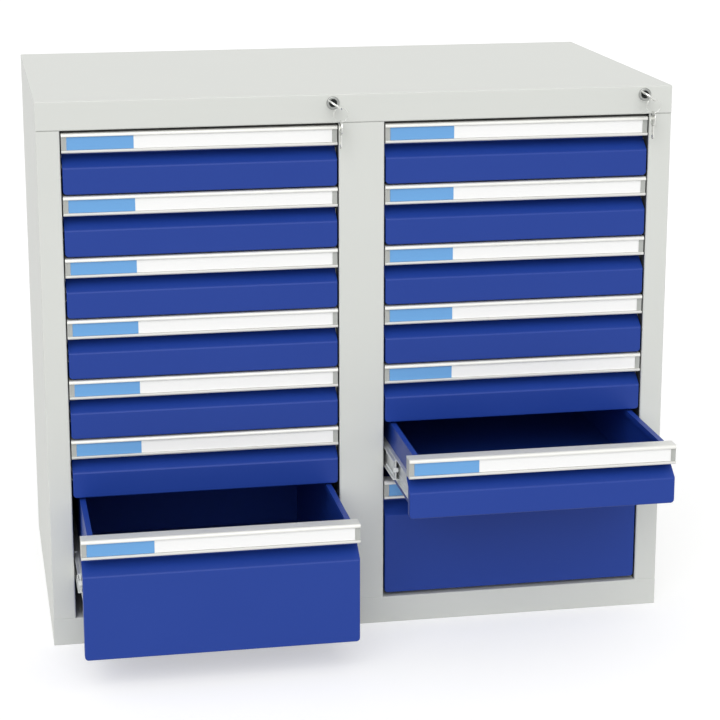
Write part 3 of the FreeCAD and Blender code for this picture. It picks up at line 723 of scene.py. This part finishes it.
def bored(piece, cutter):
    """Cuts the shape of the cutter out of a piece."""
    select_only(piece)
    bore = piece.modifiers.new("Bore", "BOOLEAN")
    bore.object = cutter
    bore.solver = "EXACT"
    bpy.ops.object.modifier_apply(modifier=bore.name)
    bpy.data.objects.remove(cutter)


def turned(piece, centre, degrees):
    """Turns a piece's mesh about a lock's axis."""
    there = Matrix.Translation(centre)
    turn = Matrix.Rotation(math.radians(degrees), 4, "Y")
    piece.data.transform(there @ turn @ there.inverted())


# painted reflection: the flange and nut are coloured darker than nickel, and the plug nearly
# black, to stand in for dark surroundings reflected in the metal; the patches between each pair
# of colours are handling stains
NICKEL_PAINTED_DARK = nickel_plate("nickel_painted_dark_reflection", paint(176, 178, 175), paint(142, 144, 141))
PLUG_PAINTED_DARK = nickel_plate("plug_painted_dark_reflection", paint(50, 53, 52), paint(34, 37, 36))
JOINTS = {joint["name"]: joint for joint in frame["joints"]}
BAND_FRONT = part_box("top_cover")[0].y

FLANGE_RADIUS = 0.0105
FLANGE_RISE = 0.0025
FLANGE_DOME = 0.0016
SINK_RADIUS = 0.0076
SINK_DEPTH = 0.0007
BARREL_RADIUS = 0.0090
BARREL_LENGTH = 0.028
BARREL_LAP = 0.001           # how far the barrel reaches into the flange
BAND_SHEET = 0.0015
NUT_RADIUS = 0.0127          # over its corners
NUT_THICKNESS = 0.004
NUT_TURN = 30                # puts a flat of the nut on top
NUT_EDGE = 0.0004
PLUG_RADIUS = 0.0065
PLUG_PLAY = 0.00005
PLUG_SINK = 0.0005
PLUG_CHAMFER = 0.0005
KEY_SLOT = (0.0082, 0.020, 0.0024)
CAM_THICKNESS = 0.003
CAM_HALF = 0.005
CAM_REACH = 0.0105           # end of the arm from the lock axis
CAM_CORNER = 0.003
CAM_LEAN = -45               # turn of the arm about +Y in the open lock
STEEL_EDGE = 0.0003          # rounding of the arm, the pin and the lock bar
PIN_RADIUS = 0.002
PIN_OFFSET = 0.007
PIN_LENGTH = 0.011
CAM_GAP = 0.0005
KEY_LEAN = 35                # turn of the key about +Y in the open lock


def along(centre, y):
    """The point of a lock's axis at a depth."""
    return Vector((centre.x, y, centre.z))


def finished_housing(centre):
    """Flange, barrel and nut of one lock, bored for the plug."""
    flange = new_disc("flange", along(centre, BAND_FRONT - FLANGE_RISE / 2), FLANGE_RADIUS,
                      FLANGE_RISE, 64)
    face = BAND_FRONT - FLANGE_RISE
    round_off(flange, lambda p: near(p.y, face), FLANGE_DOME, 6)
    on_faces(flange, lambda middle, normal: normal.y < -SQUARE and near(middle.y, face),
             bpy.ops.mesh.inset, thickness=FLANGE_RADIUS - FLANGE_DOME - SINK_RADIUS)
    push(flange, lambda middle, normal: normal.y < -SQUARE
         and (middle - along(centre, face)).length < SINK_RADIUS / 2, y=SINK_DEPTH)
    barrel = new_disc("barrel", along(centre, BAND_FRONT + (BARREL_LENGTH - BARREL_LAP) / 2),
                      BARREL_RADIUS, BARREL_LENGTH + BARREL_LAP, 48)
    nut_place = along(centre, BAND_FRONT + BAND_SHEET + NUT_THICKNESS / 2)
    nut = new_disc("nut", nut_place, NUT_RADIUS, NUT_THICKNESS, 6)
    turned(nut, nut_place, NUT_TURN)
    soften(nut, NUT_EDGE)
    for part in (flange, barrel, nut):
        bored(part, new_disc("cutter", along(centre, BAND_FRONT), PLUG_RADIUS + PLUG_PLAY,
                             4 * BARREL_LENGTH, 64))
    return joined([flange, barrel, nut])


def finished_plug(centre):
    """Plug with a chamfered face and its key slot, the cam arm and the pin."""
    face = BAND_FRONT - FLANGE_RISE + PLUG_SINK
    cam_front = BAND_FRONT + BARREL_LENGTH + CAM_GAP
    plug = new_disc("plug", along(centre, (face + cam_front) / 2), PLUG_RADIUS,
                    cam_front - face, 64)
    round_off(plug, lambda p: near(p.y, face), PLUG_CHAMFER, 3)
    wide, deep, high = KEY_SLOT
    slot = new_box("slot", along(centre, face - deep) - Vector((wide / 2, 0, high / 2)),
                   along(centre, face + deep) + Vector((wide / 2, 0, high / 2)))
    turned(slot, centre, KEY_LEAN)
    bored(plug, slot)
    arm = new_box("arm", along(centre, cam_front) - Vector((CAM_REACH, 0, CAM_HALF)),
                  along(centre, cam_front + CAM_THICKNESS) + Vector((CAM_HALF, 0, CAM_HALF)))
    round_off(arm, lambda p: near(abs(p.z - centre.z), CAM_HALF)
              and near(p.x, centre.x - CAM_REACH), CAM_CORNER, 6)
    soften(arm, STEEL_EDGE)
    pin_y = cam_front + CAM_THICKNESS + PIN_LENGTH / 2
    pin = new_disc("pin", along(centre, pin_y) - Vector((PIN_OFFSET, 0, 0)), PIN_RADIUS,
                   PIN_LENGTH, 24)
    soften(pin, STEEL_EDGE)
    for part in (arm, pin):
        turned(part, centre, CAM_LEAN)
    return joined([plug, arm, pin])


lock_centres = {bay: Vector(JOINTS["key_turn_" + bay]["pos_m"]) for bay in BAYS}
housings = joined([finished_housing(centre) for centre in lock_centres.values()])
housings.name = "lock_housings_finished"
finish_piece(housings, NICKEL_PAINTED_DARK, "carcass", ["lock_housings"])
for bay, centre in lock_centres.items():
    plug = finished_plug(centre)
    plug.name = f"lock_plug_{bay}_finished"
    finish_piece(plug, PLUG_PAINTED_DARK, "key_" + bay, ["lock_plug_" + bay])
    bar = merged_copy("lock_bar_" + bay)
    soften(bar, STEEL_EDGE)
    finish_piece(bar, ZINC, "lock_bar_" + bay, ["lock_bar_" + bay])

# ---------------------------------------------------------------- keys
# Each lock has a flat key, stamped from nickel-plated steel, with a round bow and cuts along
# one edge of its blade. A split ring of steel wire runs through the bow and carries the
# spare key, which hangs below it.
KEY_NICKEL = nickel_plate("key_nickel", paint(230, 231, 227), paint(208, 209, 204))
BOW_RIM = 0.0016
BOW_SINK = 0.0004
BOW_EDGE = 0.00025
BLADE_LAP = 0.003            # how far the blade reaches into the bow
BLADE_EDGE = 0.0001
BITS = 5
BIT_SHALLOW = 0.16           # depth of the cuts, in widths of the blade
BIT_STEP = 0.1
TIP_ROUND = 0.6              # rounding of the tip, in half widths of the blade
GROOVE = (-0.35, 0.1)        # its edges, in half widths of the blade
GROOVE_DEPTH = 0.2           # in thicknesses of the blade


def finished_key(sheet, bow_radius, blade_width, blade_end, hole, hole_radius):
    """A key lying flat: its bow round the origin and its blade along +Y."""
    bow = new_disc("bow", (0, 0, 0), bow_radius, sheet, 64, "Z")
    on_faces(bow, lambda centre, normal: abs(normal.z) > SQUARE, bpy.ops.mesh.inset,
             thickness=BOW_RIM)
    for side in (-1, 1):
        push(bow, lambda centre, normal: normal.z * side > SQUARE
             and centre.length < bow_radius / 2, z=-side * BOW_SINK)
    bored(bow, new_disc("cutter", (*hole, 0), hole_radius, 4 * sheet, 40, "Z"))
    soften(bow, BOW_EDGE)
    half = blade_width / 2
    groove_left, groove_right = (half * share for share in GROOVE)
    blade = new_box("blade", (-half, bow_radius - BLADE_LAP, -sheet / 2),
                    (half, blade_end, sheet / 2))
    step = (blade_end - bow_radius) / (2 * BITS + 2)
    slice_at(blade, [blade_end - step * (i + 1) for i in range(2 * BITS)], "y")
    for i in range(BITS):
        notch = blade_end - step * (2 * i + 2)
        depth = blade_width * (BIT_SHALLOW + BIT_STEP * (i * 2 % 3))
        on_edges(blade, lambda p: near(p.y, notch) and near(p.x, half),
                 bpy.ops.transform.translate, value=(-depth, 0, 0))
    round_off(blade, lambda p: near(p.y, blade_end) and near(abs(p.x), half),
              half * TIP_ROUND, 4)
    slice_at(blade, (groove_left, groove_right), "x")
    for side in (-1, 1):
        push(blade, lambda centre, normal: normal.z * side > SQUARE
             and groove_left < centre.x < groove_right and centre.y < blade_end - step,
             z=-side * sheet * GROOVE_DEPTH)
    soften(blade, BLADE_EDGE)
    return joined([bow, blade])


def laid(piece, name, across, onward, place):
    """Puts a flat piece in place: its +X runs across and its +Y onward."""
    across, onward = Vector(across), Vector(onward)
    turn = Matrix((across, onward, across.cross(onward))).transposed().to_4x4()
    piece.data.transform(Matrix.Translation(place) @ turn)
    piece.name = name
    return piece


KEY_SHEET = 0.0022
KEY_BOW = 0.014
KEY_BLADE = 0.008
KEY_REACH = 0.038            # tip from the middle of the bow
KEY_HOLE = 0.0085
KEY_HOLE_RADIUS = 0.0038
RING_OUTER = 0.0120
RING_WIRE = 0.00042
COIL_SPREAD = 0.95           # middle of each coil from the ring's, in wire radii
SPARE_SHEET = 0.0018
SPARE_BOW = 0.012
SPARE_REACH = 0.033
SPARE_HOLE = 0.0075
SPARE_HOLE_RADIUS = 0.003

for bay, centre in lock_centres.items():
    key = laid(finished_key(KEY_SHEET, KEY_BOW, KEY_BLADE, KEY_REACH, (KEY_HOLE, 0),
                            KEY_HOLE_RADIUS),
               f"key_{bay}_finished", AXIS["x"], AXIS["y"], centre)
    turned(key, centre, KEY_LEAN)
    finish_piece(key, KEY_NICKEL, "key_" + bay, ["key_" + bay])

    ring_low, ring_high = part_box("key_ring_" + bay)
    ring_middle = (ring_low.x + ring_high.x) / 2
    coils = []
    for side in (-1, 1):
        bpy.ops.object.select_all(action="DESELECT")
        bpy.ops.mesh.primitive_torus_add(
            major_radius=RING_OUTER - RING_WIRE, minor_radius=RING_WIRE, major_segments=72,
            minor_segments=10, rotation=(math.pi / 2, 0, 0),
            location=(ring_middle, centre.y + side * RING_WIRE * COIL_SPREAD,
                      ring_high.z - RING_OUTER))
        coils.append(settled("coil"))
    ring = joined(coils)
    ring.name = f"key_ring_{bay}_wire"
    spare = laid(finished_key(SPARE_SHEET, SPARE_BOW, KEY_BLADE, SPARE_REACH, (0, -SPARE_HOLE),
                              SPARE_HOLE_RADIUS),
                 f"spare_key_{bay}", AXIS["y"], -AXIS["z"],
                 (ring_middle, centre.y, ring_low.z + SPARE_REACH))
    finish_piece(ring, KEY_NICKEL, "key_ring_" + bay, ["key_ring_" + bay])
    finish_piece(spare, KEY_NICKEL, "key_ring_" + bay)

# ---------------------------------------------------------------- floor, light and camera
# A white floor that keeps the cabinet's shadow, an even white sky, a soft key lamp from the
# upper left in front, and a weak fill lamp low in front.
FLOOR_HALF = 40.0
FLOOR_SHADE = 0.65
FLOOR_GLOW = 0.46            # lifts the seen floor to white where no shadow falls
SKY_LEVEL = 0.69
floor_paint = Finish("studio_floor", {"Base Color": (FLOOR_SHADE, FLOOR_SHADE, FLOOR_SHADE, 1),
                                      "Roughness": 0.9, "Specular IOR Level": 0.0})
rays = floor_paint.node("LightPath")
seen = rays["Is Camera Ray"] + rays["Is Glossy Ray"] + rays["Is Transmission Ray"]
floor_paint.surface({"Emission Color": (1, 1, 1, 1), "Emission Strength": seen * FLOOR_GLOW})
bpy.ops.object.select_all(action="DESELECT")
bpy.ops.mesh.primitive_plane_add(size=2 * FLOOR_HALF, location=(0, 0, cad_box[0].z))
floor = bpy.context.object
floor.name = "studio_floor"
floor.data.materials.append(floor_paint.material)

world = bpy.data.worlds.new("studio")
bpy.context.scene.world = world
world.use_nodes = True
sky = world.node_tree
ray = sky.nodes.new("ShaderNodeLightPath")
seen_sky = ray.outputs["Is Camera Ray"]
for kind in ("Is Glossy Ray", "Is Transmission Ray"):
    either = sky.nodes.new("ShaderNodeMath")
    either.operation = "MAXIMUM"
    sky.links.new(seen_sky, either.inputs[0])
    sky.links.new(ray.outputs[kind], either.inputs[1])
    seen_sky = either.outputs["Value"]
level = sky.nodes.new("ShaderNodeMapRange")
level.inputs["To Min"].default_value = SKY_LEVEL
sky.links.new(seen_sky, level.inputs["Value"])
backdrop = sky.nodes["Background"]
backdrop.inputs["Color"].default_value = (1, 1, 1, 1)
sky.links.new(level.outputs["Result"], backdrop.inputs["Strength"])


def soft_lamp(name, strength, spread, tilt, turn):
    """A broad distant lamp, tilted from straight above and turned about the upright."""
    light = bpy.data.lights.new(name, "SUN")
    light.energy = strength
    light.angle = math.radians(spread)
    lamp = bpy.data.objects.new(name, light)
    bpy.context.scene.collection.objects.link(lamp)
    lamp.rotation_euler = (math.radians(tilt), 0, math.radians(turn))


soft_lamp("key_lamp", strength=1.44, spread=60, tilt=53, turn=-16)
soft_lamp("fill_lamp", strength=0.09, spread=80, tilt=80, turn=-8)

IMAGE_SIDE = 720
FOCAL_PIXELS = 2169
CAMERA_PLACE = (-0.633, -3.667, 1.396)
CAMERA_PITCH = 14.3
CAMERA_YAW = 10.6
CAMERA_SHIFT = -0.05
SENSOR_WIDTH = 36.0
camera_data = bpy.data.cameras.new("camera")
camera_data.sensor_width = SENSOR_WIDTH
camera_data.lens = FOCAL_PIXELS / IMAGE_SIDE * SENSOR_WIDTH
camera_data.shift_y = CAMERA_SHIFT
camera = bpy.data.objects.new("camera", camera_data)
bpy.context.scene.collection.objects.link(camera)
camera.location = CAMERA_PLACE
camera.rotation_euler = (math.radians(90 - CAMERA_PITCH), 0, math.radians(-CAMERA_YAW))
bpy.context.scene.camera = camera

bpy.context.scene.view_settings.view_transform = "Standard"
